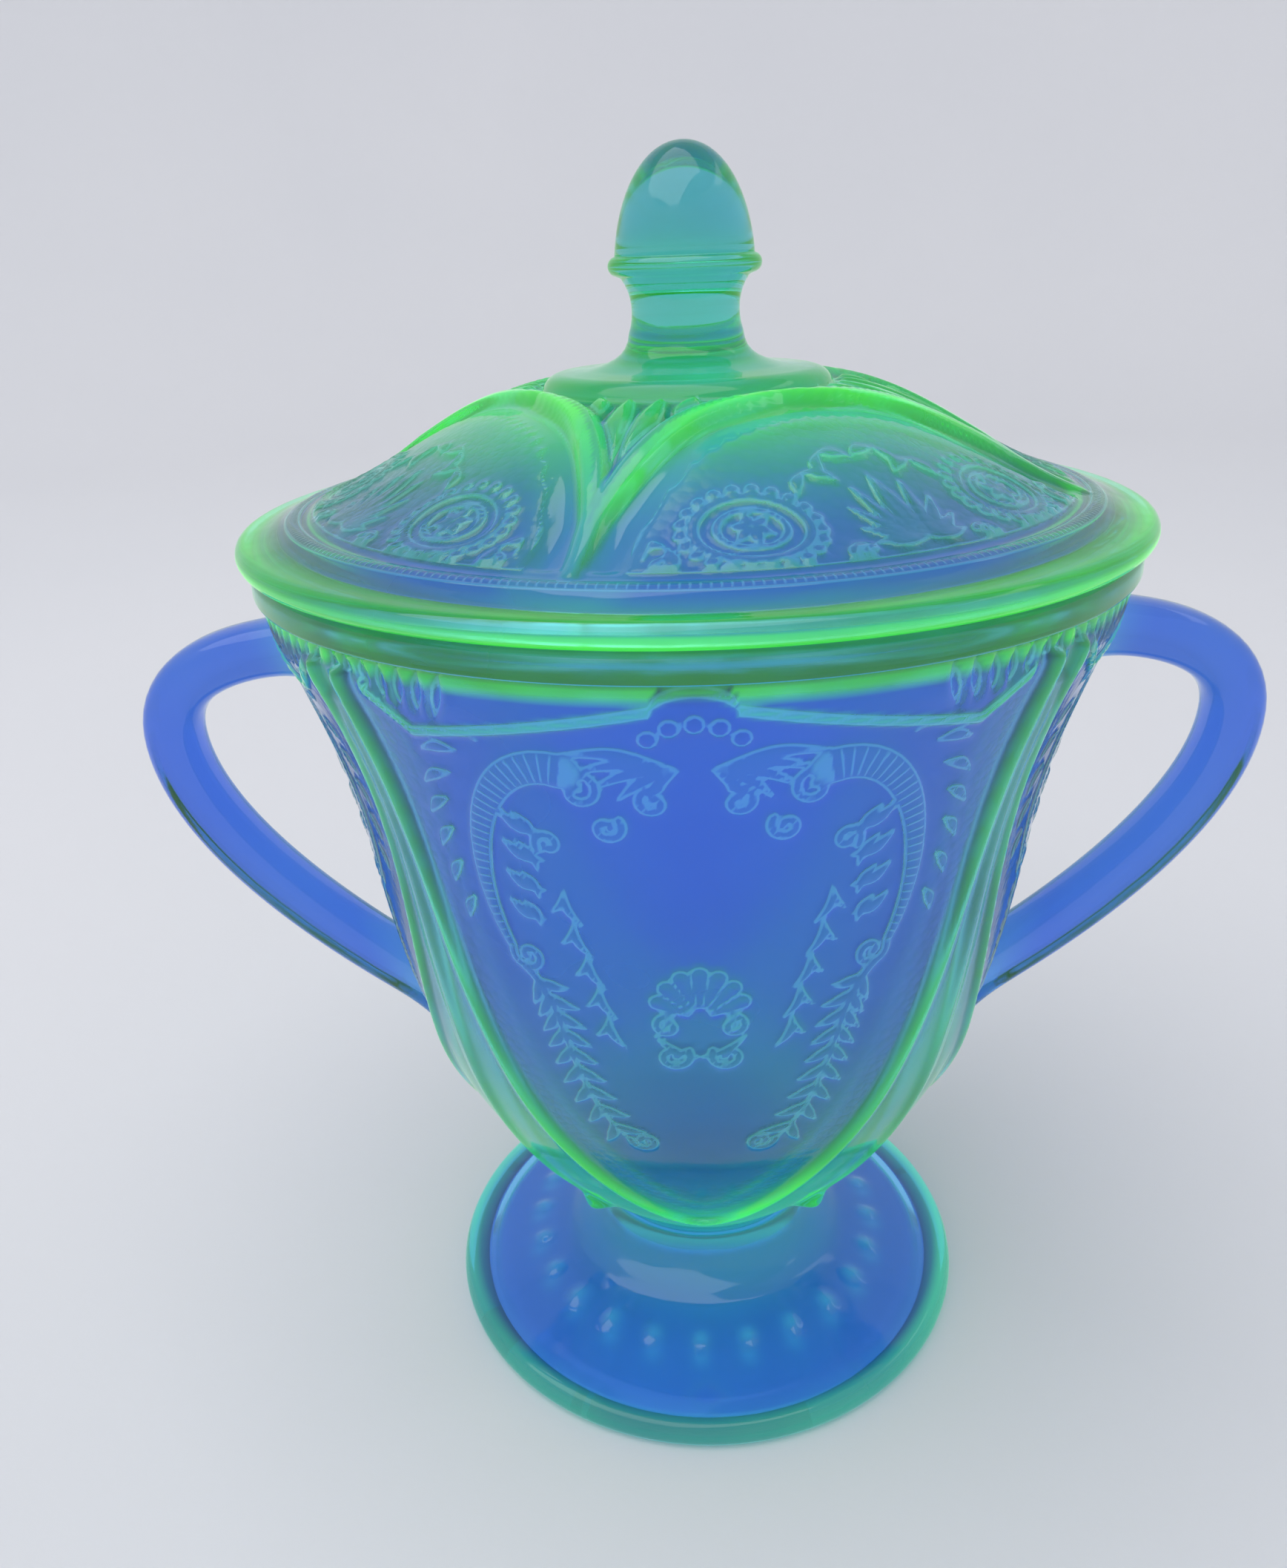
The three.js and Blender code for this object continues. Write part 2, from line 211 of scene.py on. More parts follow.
def bowl_profile():
    """Counter-clockwise from the hollow under the foot to the middle of the cup's floor."""
    ring_inside = FOOT_RADIUS - FOOT_EDGE / 2 - BASE_RING_WIDTH
    ceiling = FOOT_HEIGHT - STEM_FLARE
    underside = bezier(
        [0, ceiling], [0.8 * STEM_RADIUS, ceiling], [STEM_RADIUS + 2, FOOT_EDGE - 0.8],
        [ring_inside - 1, 1.2])
    base_ring = [[ring_inside, 0.05], [ring_inside + 0.4, 0]]
    edge = arc([FOOT_RADIUS - FOOT_EDGE / 2, FOOT_EDGE / 2], FOOT_EDGE / 2, -90, 90, 11)
    rim_inside = RIM_RADIUS - BOWL_WALL
    rim_top = BOWL_HEIGHT - RIM_ROUNDING
    collar = arc(
        [RIM_RADIUS - COLLAR_ROUNDING, COLLAR_BASE + 0.45], COLLAR_ROUNDING, -70, 0, 4)
    rim = np.concatenate([
        arc([RIM_RADIUS - RIM_ROUNDING, rim_top], RIM_ROUNDING, 0, 90),
        arc([rim_inside + RIM_ROUNDING, rim_top], RIM_ROUNDING, 90, 180),
    ])
    floor = CUP_BOTTOM + CUP_FLOOR
    wall = offset(CUP_SIDE, BOWL_WALL)
    wall = wall[(wall[:, 1] > floor + 1) & (wall[:, 1] < COLLAR_BASE)][::-1]
    low = wall[-1]
    floor_curve = bezier(low, [low[0] - 2, low[1] - 1], [0.5 * low[0], floor], [0, floor])
    return np.concatenate([
        respaced(underside, PLAIN_STEP),
        base_ring,
        edge,
        respaced(FOOT_SIDE, FOOT_STEP)[1:],
        respaced(CUP_SIDE, OUTER_STEP),
        collar,
        rim,
        [[rim_inside, COLLAR_BASE]],
        respaced(wall, WALL_STEP),
        respaced(floor_curve, PLAIN_STEP)[1:],
    ])


def dome_side():
    """From the inner edge of the flange up to the crown."""
    run = DOME_RADIUS - CROWN_RADIUS
    rise = CROWN_BASE - FLANGE_TOP
    return bezier(
        [DOME_RADIUS, FLANGE_TOP],
        [DOME_RADIUS - 0.35 * run, FLANGE_TOP + 0.18 * rise],
        [CROWN_RADIUS + 0.37 * run, CROWN_BASE - 0.1 * rise],
        [CROWN_RADIUS, CROWN_BASE])


DOME_SIDE = dome_side()
DOME_SIDE_OUTWARDS = DOME_SIDE[::-1]


def dome_top(radius):
    return np.interp(radius, DOME_SIDE_OUTWARDS[:, 0], DOME_SIDE_OUTWARDS[:, 1])


def finial_side():
    """From the crown up to the tip of the knob."""
    base = CROWN_TOP
    collar_base = base + NECK_HEIGHT
    rounding = KNOB_COLLAR_HEIGHT / 2
    knob_base = collar_base + KNOB_COLLAR_HEIGHT
    knob_height = FINIAL_TOP - knob_base
    flare = bezier(
        [FLARE_RADIUS, base], [NECK_RADIUS + 1.6, base + 0.8],
        [NECK_RADIUS + 0.6, base + 0.2 * NECK_HEIGHT], [NECK_RADIUS + 0.4, base + 0.4 * NECK_HEIGHT])
    neck = bezier(
        flare[-1], [NECK_RADIUS - 0.2, base + 0.55 * NECK_HEIGHT],
        [NECK_RADIUS - 0.3, base + 0.8 * NECK_HEIGHT], [NECK_RADIUS + 1.1, collar_base - 0.2])
    knob_collar = arc(
        [KNOB_COLLAR_RADIUS - rounding, collar_base + rounding], rounding, -80, 80, 9)
    knob = bezier(
        [KNOB_RADIUS, knob_base], [KNOB_RADIUS - 0.5, knob_base + 0.52 * knob_height],
        [0.58 * KNOB_RADIUS, FINIAL_TOP], [0, FINIAL_TOP])
    return np.concatenate([
        respaced(flare, KNOB_STEP)[1:], respaced(neck, KNOB_STEP)[1:], knob_collar,
        respaced(knob, KNOB_STEP)])


def lid_profile():
    """Counter-clockwise from the ceiling under the dome to the tip of the finial."""
    rounding = LIP_THICKNESS / 2
    ring_inside = SEAT_RADIUS - SEAT_WIDTH
    hollow = offset(DOME_SIDE, LID_WALL)[::-1]
    hollow = hollow[hollow[:, 0] < ring_inside - 1]
    ceiling = CROWN_BASE - LID_WALL
    ring = np.array([
        [ring_inside, SEAT_BOTTOM + 0.8], [ring_inside + 0.5, SEAT_BOTTOM + 0.1],
        [ring_inside + 1, SEAT_BOTTOM], [SEAT_RADIUS - 0.8, SEAT_BOTTOM],
        [SEAT_RADIUS - 0.2, SEAT_BOTTOM + 0.3], [SEAT_RADIUS, SEAT_BOTTOM + 1],
        [SEAT_RADIUS, SEAT_HEIGHT - 0.2], [SEAT_RADIUS + 0.3, SEAT_HEIGHT],
    ])
    lip = arc([LIP_RADIUS - rounding, SEAT_HEIGHT + rounding], rounding, -90, 90, 11)
    flange = bezier(
        lip[-1], lip[-1] - [2.4, 0], [DOME_RADIUS + 2, FLANGE_TOP - 0.25],
        [DOME_RADIUS, FLANGE_TOP])
    crown_rounding = bezier(
        [CROWN_RADIUS, CROWN_BASE], [CROWN_RADIUS - 0.3, CROWN_BASE + 1],
        [CROWN_RADIUS - CROWN_BEVEL + 1.4, CROWN_TOP - 0.1],
        [CROWN_RADIUS - CROWN_BEVEL, CROWN_TOP])
    return np.concatenate([
        [[0, ceiling]],
        respaced([[2, ceiling], [hollow[0, 0] - 2, ceiling]], WALL_STEP),
        respaced(hollow, PLAIN_STEP),
        ring,
        lip,
        respaced(flange, OUTER_STEP)[1:],
        respaced(DOME_SIDE, OUTER_STEP)[1:],
        respaced(crown_rounding, 0.5)[1:],
        finial_side(),
    ])


# ---- Relief ---------------------------------------------------------------------------------------
# Each pattern repeats four times round the glass and is the same on both sides of its middle, so it
# is drawn once, on one side of one quarter. What is drawn is kept as a field: how many millimetres
# a point lies outside (positive) or inside a drawn shape. The mesh is raised inside the shapes, and
# the glass material draws their outlines finer than the mesh could.

BLANK = 3.0             # the field where nothing is drawn nearby
HALF_HEIGHT = 2.77      # makes a bell curve half as high at half its width from the middle


def ridge(distance, width, height):
    """A rounded ridge, width across at half its height."""
    return height * np.exp(-HALF_HEIGHT * (distance / width) ** 2)


def smooth_step(low, high, value):
    t = np.clip((value - low) / (high - low), 0, 1)
    return t * t * (3 - 2 * t)


def folded(angle, middle=0.0):
    """Degrees from the middle of the nearest quarter, 0 to 45."""
    return np.abs((np.degrees(angle) - middle + 45) % 90 - 45)


def line_distance(x, y, line):
    """From each point to the nearest point of a line, and how far along the line that is, 0 to 1."""
    best = np.full(x.shape, np.inf)
    where = np.zeros(x.shape)
    pieces = len(line) - 1
    for i, (a, b) in enumerate(zip(line[:-1], line[1:])):
        run = b - a
        t = np.clip(((x - a[0]) * run[0] + (y - a[1]) * run[1]) / max(run @ run, 1e-9), 0, 1)
        d = np.hypot(x - a[0] - t * run[0], y - a[1] - t * run[1])
        nearer = d < best
        best = np.where(nearer, d, best)
        where = np.where(nearer, (i + t) / pieces, where)
    return best, where


def share_of_width(shape, along):
    if shape == "leaf":
        return np.sin(np.pi * (0.06 + 0.9 * along))
    if shape == "taper":
        return 1 - 0.75 * along
    if shape == "flare":
        return 0.35 + 0.65 * along
    return np.ones_like(along)


def strokes_field(x, y, strokes):
    """The field of a set of strokes (line, half width, shape)."""
    field = np.full(x.shape, BLANK)
    for line, half, shape in strokes:
        low, high = line.min(0) - half - BLANK, line.max(0) + half + BLANK
        near = (x > low[0]) & (x < high[0]) & (y > low[1]) & (y < high[1])
        if not near.any():
            continue
        distance, along = line_distance(x[near], y[near], line)
        field[near] = np.minimum(field[near], distance - half * share_of_width(shape, along))
    return field


def raised(field, height, softness=0.35):
    """Relief inside the shapes of a field, with soft shoulders."""
    return height * smooth_step(softness, -softness, field)


def curl(centre, radius, start, turns, end_radius, count=26):
    """A volute: a spiral that winds in from radius to end_radius."""
    t = np.linspace(0, 1, count)
    angle = np.radians(start) + 2 * np.pi * turns * t
    r = radius + (end_radius - radius) * t
    return np.stack([centre[0] + r * np.cos(angle), centre[1] + r * np.sin(angle)], -1)


def swoop(*points, count=16):
    return bezier(*points, count=count)


def leaf(root, degrees, length, bow=0.12, half=0.7):
    """A leaf-shaped stroke from root towards an angle, bowed to its left."""
    a = math.radians(degrees)
    along = np.array([math.cos(a), math.sin(a)])
    left = np.array([-along[1], along[0]])
    middle = root + 0.5 * length * along + bow * length * left
    return swoop(root, middle, middle, root + length * along), half, "leaf"


# The outline of the panels: straight sides near the top that draw together into a round bottom.
PANEL_TOP = COLLAR_BASE - 5.2
PANEL_HEIGHT = 77.5
PANEL_HALF_ANGLE = 42.5
PANEL_SIDES = 1.7       # the higher, the more upright the sides
PANEL_BOTTOM = 2.4      # the higher, the rounder the bottom


def panel_distance(angle, radius, height):
    """Millimetres inside (positive) or outside the outline of the panel."""
    across = np.maximum(angle, 0.01) / PANEL_HALF_ANGLE
    down = np.clip((PANEL_TOP - height) / PANEL_HEIGHT, 0, 2)
    inside = 1 - across**PANEL_SIDES - down**PANEL_BOTTOM
    across_mm = PANEL_HALF_ANGLE * np.pi / 180 * np.maximum(radius, 1)
    slope = np.hypot(
        PANEL_SIDES * across ** (PANEL_SIDES - 1) / across_mm,
        PANEL_BOTTOM * np.maximum(down, 0.001) ** (PANEL_BOTTOM - 1) / PANEL_HEIGHT)
    return inside / np.maximum(slope, 0.004)


def border_height(x):
    """The line over a panel: a shallow peak with a half-round bump in its middle."""
    bump_half, corner, end = 3.9, 28.0, 34.2
    middle, dip, tip = COLLAR_BASE - 2.0, COLLAR_BASE - 6.7, COLLAR_BASE - 2.6
    slope_part = middle + (dip - middle) * np.clip((x - bump_half) / (corner - bump_half), 0, 1)
    rise = (tip - dip) * np.clip((x - corner) / (end - corner), 0, 1)
    bump = 1.9 * np.sqrt(np.clip(1 - (x / bump_half) ** 2, 0, 1))
    return slope_part + rise + bump


TOP = COLLAR_BASE
SCROLL = respaced(swoop(
    [12.4, TOP - 9.4], [20.4, TOP - 7.2], [25.6, TOP - 21.0], [20.2, TOP - 32.4], count=60), 1.2)
SCROLL_HALF = 2.0
SCROLL_HATCHES = 30


def panel_strokes():
    """Scrollwork on the right half of a panel, in millimetres from its middle line and upright."""
    strokes = [(SCROLL, SCROLL_HALF, "taper")]
    # volutes at the ends of the big scroll and in the field beside it
    for centre, radius, start, turns in (
        ([10.9, TOP - 11.6], 2.3, 60, 1.1), ([18.2, TOP - 33.4], 2.0, 20, -1.2),
        ([3.9, TOP - 12.6], 1.7, 110, -1.1), ([8.4, TOP - 15.8], 1.6, 140, 1.1),
        ([14.6, TOP - 18.4], 1.5, -40, 1.1), ([2.9, TOP - 45.0], 1.9, 150, 1.1),
    ):
        strokes.append((curl(centre, radius, start, turns, 0.35), 0.42, "even"))
    # leaves that sweep out from under the pearls
    root = np.array([1.6, TOP - 8.8])
    for degrees, length in ((6, 11.5), (-4, 9.8), (-17, 8.4), (-33, 6.6), (-54, 5.0)):
        strokes.append(leaf(root, degrees, length, bow=0.13, half=0.6))
    # small leaves between the big scroll and the corner of the panel
    for place, heading, length in (
        ((20.4, TOP - 6.8), 18, 4.6), ((23.2, TOP - 8.6), -8, 4.4), ((24.6, TOP - 11.6), -28, 4.2),
        ((25.6, TOP - 15.0), -42, 3.8), ((25.8, TOP - 18.8), -55, 3.4),
        ((25.4, TOP - 23.0), -64, 3.4), ((24.4, TOP - 27.4), -70, 3.2),
    ):
        strokes.append(leaf(np.array(place), heading, length, bow=0.14, half=0.6))
    # a lighter spray towards the middle
    for down, across in ((24.0, 13.4), (28.0, 12.6), (32.0, 11.4), (36.0, 10.4), (40.0, 9.6)):
        strokes.append(leaf(np.array([across, TOP - down]), -112, 4.6, bow=0.2, half=0.45))
        strokes.append(leaf(np.array([across, TOP - down]), -62, 3.4, bow=-0.2, half=0.4))
    # a frond inside the big scroll
    for down, length in ((15.0, 5.2), (18.6, 5.0), (22.4, 4.6), (26.2, 4.2)):
        strokes.append(leaf(np.array([19.6, TOP - down]), 205, length, bow=0.16, half=0.7))
        strokes.append(leaf(np.array([18.0, TOP - down]), 238, 0.8 * length, bow=-0.14, half=0.55))
    # the stem that runs down inside the outline, with its leaves
    stem = swoop([18.8, TOP - 35], [13.4, TOP - 40], [16.0, TOP - 50], [8.2, TOP - 60], count=40)
    strokes.append((stem, 0.5, "taper"))
    for i in range(3, 38, 4):
        along = stem[i + 1] - stem[i]
        heading = math.degrees(math.atan2(along[1], along[0]))
        for side in (-1, 1):
            strokes.append(leaf(stem[i], heading + side * 44, 3.9, bow=-0.14 * side, half=0.62))
    strokes.append((curl(stem[-1] + [-1.6, 0.4], 1.7, 0, -1.1, 0.4), 0.4, "even"))
    # a small shell low on the middle line, with a pair of scrolls under it
    heart = np.array([0.0, TOP - 39.5])
    for degrees in (90, 66, 43, 21):
        a = math.radians(degrees)
        ray = np.array([math.cos(a), 1.25 * math.sin(a)])
        strokes.append((np.array([heart + 1.4 * ray, heart + 4.6 * ray]), 0.95, "flare"))
    strokes.append((curl(heart + [3.4, -1.2], 1.5, 100, -1.1, 0.3), 0.4, "even"))
    strokes.append((swoop(
        heart + [0.0, -5.6], heart + [2.2, -5.2], heart + [3.4, -4.4], heart + [4.8, -2.6]),
        0.45, "leaf"))
    return strokes


PANEL_STROKES = panel_strokes()


def corner_flutes():
    """Short upright flutes that fan out under the collar at the corners of a panel."""
    flutes = []
    for i in range(7):
        foot = np.array([25.0 + 2.0 * i, TOP - 5.2 + 0.4 * i])
        head = np.array([23.8 + 2.5 * i, TOP - 0.4])
        flutes.append((np.array([head, foot]), 0.72, "leaf"))
    return flutes


CORNER_FLUTES = corner_flutes()


def cup_details(angle, radius, height):
    """The relief on the outside of the cup and what its material needs to know at each point."""
    quarter = folded(angle)
    wall = cup_radius(height)
    x = np.radians(quarter) * wall
    inside = panel_distance(quarter, wall, height)
    drop = height - border_height(x)
    outline = ridge(inside, 1.6, 1.0) * (drop < 0.6)
    to_corner = np.radians(45 - quarter) * wall
    spine = ridge(to_corner, 2.2, 0.5) * smooth_step(PANEL_TOP + 1, PANEL_TOP - 5, height)
    pilaster = 0.45 * smooth_step(0.4, -2.2, inside) * (height < PANEL_TOP)
    nub = ridge(np.hypot(to_corner, (height - 22.5) * 1.1), 3.4, 1.5)
    off_field = np.maximum(1.5 - inside, drop + 1.6)
    drawn = np.maximum(strokes_field(x, height, PANEL_STROKES), off_field)
    border = np.maximum(np.abs(drop + 0.45) - 0.45, x - 34.0)
    pearls = np.full(x.shape, BLANK)
    for across, down in ((0.0, 3.7), (2.2, 4.1), (4.1, 5.3)):
        pearls = np.minimum(pearls, np.hypot(x - across, height - (TOP - down)) - 0.85)
    flutes = np.maximum(strokes_field(x, height, CORNER_FLUTES), 0.5 - drop)
    distance, along = line_distance(x, height, SCROLL)
    in_scroll = np.maximum(distance - SCROLL_HALF * share_of_width("taper", along), off_field)
    relief = (
        outline + spine + pilaster + nub + raised(drawn, 0.25) + raised(border, 0.4)
        + raised(pearls, 0.4, 0.5) - raised(flutes, 0.5))
    under_collar = smooth_step(TOP - 2.1, TOP - 1.2, height) * (drop > 0.3)
    # glow: how green the glass is, and how much painted green glow it gives off, most on the
    # outline, the border and under the collar
    glow = (
        0.5 * outline + 0.15 * spine + 0.12 * nub + 0.75 * under_collar
        + raised(border, 0.5, 0.4) + raised(drawn, 0.05) + 0.22 * smooth_step(0.5, -3, inside)
        + smooth_step(46, 24, height) * (0.16 + 0.3 * outline)) * (1 - raised(flutes, 0.7))
    return {
        "push": relief,
        "glow": glow,
        "edge": np.minimum.reduce([drawn, border, pearls, flutes + 0.2]),
        "phase": along * SCROLL_HATCHES,
        "hatched": smooth_step(0.0, -0.35, in_scroll),
        "lace": smooth_step(12, 3, inside) * smooth_step(1.0, 2.5, inside) * (drop < -1.6),
    }


BEADS = 24
BEAD_CIRCLE = 25.0
BEAD_TURN = 13          # degrees from the front to the first of them
BEAD_WIDTH = 2.0
BEAD_RELIEF = 0.55
FOOT_BAND = 2.6


def foot_details(angle, radius, height):
    """Small beads in a circle on the disc, and the thicker band round its edge."""
    spacing = 360 / BEADS
    off = np.abs((np.degrees(angle) - BEAD_TURN + spacing / 2) % spacing - spacing / 2)
    away = np.hypot(np.radians(off) * BEAD_CIRCLE, radius - BEAD_CIRCLE)
    beads = ridge(away, BEAD_WIDTH, BEAD_RELIEF)
    band_edge = FOOT_RADIUS - FOOT_BAND
    band = 0.2 * smooth_step(band_edge - 1.5, band_edge + 0.8, radius)
    step = 0.35 * smooth_step(20.0, 19.0, radius) * smooth_step(14, 16, radius)
    edge_glow = smooth_step(band_edge, band_edge + 1.4, radius)
    # glow: how green the glass is, and how much painted green glow it gives off, most on the beads
    # and the edge band
    glow = 0.22 * beads + 0.26 * edge_glow + 0.08 * smooth_step(22, 15, radius)
    # painted light: the foot is made paler and given a little light, most on its beads and its edge
    # band, against the shade that falls under it
    pale = 0.3 + 0.15 * edge_glow + 0.5 * beads
    deep = 0.4 * smooth_step(band_edge, band_edge - 2, radius)
    return {"push": beads + band + step, "glow": glow, "pale": pale, "deep": deep}


LUNETTE_MIDDLE = 31.0   # degrees from the front to the middle of the nearest arched field
ROPE_CIRCLE = 46.0
COVE = 4.4              # from the middle of an arch to the lacework inside it
ARCH_INSIDE = 17.6      # radius that an arch closes in on
ARCH_REACH = 21         # how much farther out its foot is
ARCH_SPREAD = 9         # degrees over which most of that is lost
ARCH_HOOK = 0.75        # below 1, the arch leaves its foot steeply and flattens early


def arch_radius(from_foot):
    """How far out the arch runs, at an angle in degrees from the line between two arched fields."""
    return ARCH_INSIDE + ARCH_REACH * np.exp(
        -((np.maximum(from_foot, 0) / ARCH_SPREAD) ** ARCH_HOOK))


def polar(radius, from_foot):
    """A point of the plane of one arched field, its middle line upright."""
    turn = np.radians(45 - np.asarray(from_foot, float))
    return np.stack([radius * np.sin(turn), radius * np.cos(turn)], -1)


def arch_line():
    """The arch on one side of a field, from its foot near the rope to its top at the crown."""
    from_foot = np.concatenate([[0.35, 0.35], np.geomspace(0.4, 45, 40)])
    radius = np.concatenate([[44.6, 41.0], arch_radius(from_foot[2:])])
    return respaced(polar(radius, from_foot), 0.8)


ARCH_LINE = arch_line()


def petals():
    """Petals that fan down from the crown between two arches."""
    return [
        (np.stack([polar(17.0, 5.6), polar(24.0, 3.4), polar(31.0, 1.6)]), 1.25, "leaf"),
        (np.stack([polar(16.8, 17.5), polar(19.3, 14.0), polar(22.0, 11.0)]), 0.95, "leaf"),
    ]


PETALS = petals()


def lunette_strokes():
    """Lacework inside the arch: an oval wreath, a fan and small leaves, on one side of a field."""
    strokes = []
    wreath = np.array([14.8, 35.4])
    turn = math.radians(-23)
    spin = np.array([[math.cos(turn), math.sin(turn)], [-math.sin(turn), math.cos(turn)]])
    angle = np.linspace(0, 2 * np.pi, 40)
    for share, half in ((1.0, 0.5), (0.6, 0.35)):
        oval = np.stack([5.4 * share * np.cos(angle), 4.1 * share * np.sin(angle)], -1)
        strokes.append((wreath + oval @ spin, half, "even"))
    for i in range(6):
        strokes.append(leaf(wreath, 60 * i + 20, 2.2, bow=0.0, half=0.6))
    for i in range(22):
        a = 2 * math.pi * i / 22
        bead = wreath + np.array([6.5 * math.cos(a), 5.2 * math.sin(a)]) @ spin
        strokes.append((np.array([bead, bead + 0.1]), 0.6, "even"))
    base = np.array([0.0, 42.0])
    for degrees, length in ((-90, 9.0), (-70, 8.4), (-50, 7.4), (-29, 6.2), (-8, 5.2)):
        strokes.append(leaf(base, degrees, length, bow=0.08, half=0.75))
    for place, heading in (
        ((6.4, 31.2), 150), ((3.4, 29.4), 165), ((22.6, 33.6), 60), ((24.4, 30.4), 75),
    ):
        strokes.append(leaf(np.array(place), heading, 3.4, bow=0.15, half=0.7))
        strokes.append(leaf(np.array(place), heading - 100, 3.0, bow=-0.15, half=0.6))
    for centre, start, turns in (((7.4, 42.4), 200, 1.1), ((23.8, 35.6), 60, -1.1)):
        strokes.append((curl(centre, 1.5, start, turns, 0.3), 0.38, "even"))
    return strokes


LUNETTE_STROKES = lunette_strokes()


def lid_details(angle, radius, height):
    """The relief on top of the lid and what its material needs to know at each point."""
    from_middle = folded(angle, LUNETTE_MIDDLE)
    turn = np.radians(from_middle)
    x, y = radius * np.sin(turn), radius * np.cos(turn)
    distance, along = line_distance(x, y, ARCH_LINE)
    arch_half = 0.45 + 1.15 * np.sin(np.pi * np.clip(0.04 + 0.85 * along, 0, 1))
    arch = (0.4 + 0.7 * np.clip(3 * along, 0, 1)) * smooth_step(45.4, 44.4, radius)
    arch *= smooth_step(arch_half + 0.3, arch_half - 0.7, distance)
    under = radius > arch_radius(45 - from_middle)
    inner = np.where(under, distance, -distance)
    cove = ridge(inner - 0.5 * COVE - 0.4, 2.4, 0.35) * (radius < 43.5)
    scallop = COVE + 0.45 * np.abs(np.sin(47 * turn)) - inner
    ring = radius - 43.6
    lace = np.maximum(scallop, ring)
    drawn = np.maximum(strokes_field(x, y, LUNETTE_STROKES), np.maximum(scallop + 0.9, ring + 0.4))
    fan = np.maximum(strokes_field(x, y, PETALS), inner + 1.9)
    on_dome = smooth_step(CROWN_RADIUS + 0.1, CROWN_RADIUS + 1.2, radius)
    rope = np.abs(radius - ROPE_CIRCLE) - 0.75
    relief = on_dome * (
        arch - cove + raised(lace, 0.2) + raised(drawn, 0.32) + raised(fan, 0.8, 0.8)
    ) + raised(rope, 0.35, 0.5)
    # glow: how green the glass is, and how much painted green glow it gives off, most on the arches,
    # the fan, the crown and the flange
    glow = (
        on_dome * (0.42 * arch + raised(fan, 0.42, 0.6) + raised(drawn, 0.04))
        + 0.3 * smooth_step(CROWN_RADIUS + 1.5, CROWN_RADIUS - 0.5, radius)
        + 0.17 * smooth_step(ROPE_CIRCLE + 0.5, ROPE_CIRCLE + 4, radius)
        + 0.02 + (inner > 0) * (
            0.26 * smooth_step(40, 25, radius) + 0.1 * smooth_step(COVE + 3, COVE, inner)))
    return {
        "push": relief,
        "glow": glow,
        "edge": np.minimum.reduce([np.abs(lace) + 0.02, drawn, fan, rope]),
        "phase": 0.9 * from_middle,
        "hatched": smooth_step(0.0, -0.4, rope),
        "lace": smooth_step(0.2, -1.0, lace),
    }


# ---- Meshes ---------------------------------------------------------------------------------------


def turned_mesh(profile, relief=None, columns=COLUMNS):
    """Points and faces of a profile turned about the upright axis. The profile starts and ends on
    the axis. relief(angle, radius, height) gives how far each point is pushed outwards."""
    rim = profile[1:-1]
    along = np.gradient(profile, axis=0)[1:-1]
    along /= np.linalg.norm(along, axis=1)[:, None]
    normal = np.stack([along[:, 1], -along[:, 0]], -1)
    angle = np.linspace(0, 2 * np.pi, columns, endpoint=False)[None, :]
    radius = np.repeat(rim[:, :1], columns, 1)
    height = np.repeat(rim[:, 1:], columns, 1)
    if relief is not None:
        push = relief(np.repeat(angle, len(rim), 0), radius, height)
        radius = radius + push * normal[:, :1]
        height = height + push * normal[:, 1:]
    points = np.stack([radius * np.sin(angle), -radius * np.cos(angle), height], -1)
    low, high = [0, 0, profile[0, 1]], [0, 0, profile[-1, 1]]
    points = np.concatenate([points.reshape(-1, 3), [low, high]])
    row = np.arange(len(rim) - 1)[:, None] * columns
    here = np.arange(columns)[None, :]
    beside = (here + 1) % columns
    quads = np.stack([row + here, row + beside, row + columns + beside, row + columns + here], -1)
    faces = quads.reshape(-1, 4).tolist()
    first, last = len(points) - 2, len(points) - 1
    end = (len(rim) - 1) * columns
    faces += [[first, (i + 1) % columns, i] for i in range(columns)]
    faces += [[last, end + i, end + (i + 1) % columns] for i in range(columns)]
    return points, faces


def make_object(name, points, faces):
    mesh = bpy.data.meshes.new(name)
    mesh.from_pydata((np.asarray(points) * MM).tolist(), [], faces)
    mesh.update()
    piece = bpy.data.objects.new(name, mesh)
    bpy.context.scene.collection.objects.link(piece)
    return piece


def bowl_push(angle, radius, height):
    """Relief only on the outside of the cup and on top of the foot."""
    on_cup = (height > CUP_BOTTOM) & (height < COLLAR_BASE + 0.01)
    on_cup &= radius > cup_radius(height) - 0.5
    on_foot = (height < FOOT_HEIGHT) & (height > FOOT_EDGE - 0.4) & (radius > STEM_RADIUS - 0.1)
    push = np.zeros(radius.shape)
    push[on_cup] = cup_details(angle[on_cup], radius[on_cup], height[on_cup])["push"]
    push[on_foot] = foot_details(angle[on_foot], radius[on_foot], height[on_foot])["push"]
    return push


def lid_push(angle, radius, height):
    on_top = (height > FLANGE_TOP - 1.3) & (radius > CROWN_RADIUS - 0.2) & (radius < LIP_RADIUS - 1)
    on_top &= height > dome_top(radius) - 1.5
    push = np.zeros(radius.shape)
    push[on_top] = lid_details(angle[on_top], radius[on_top], height[on_top])["push"]
    return push


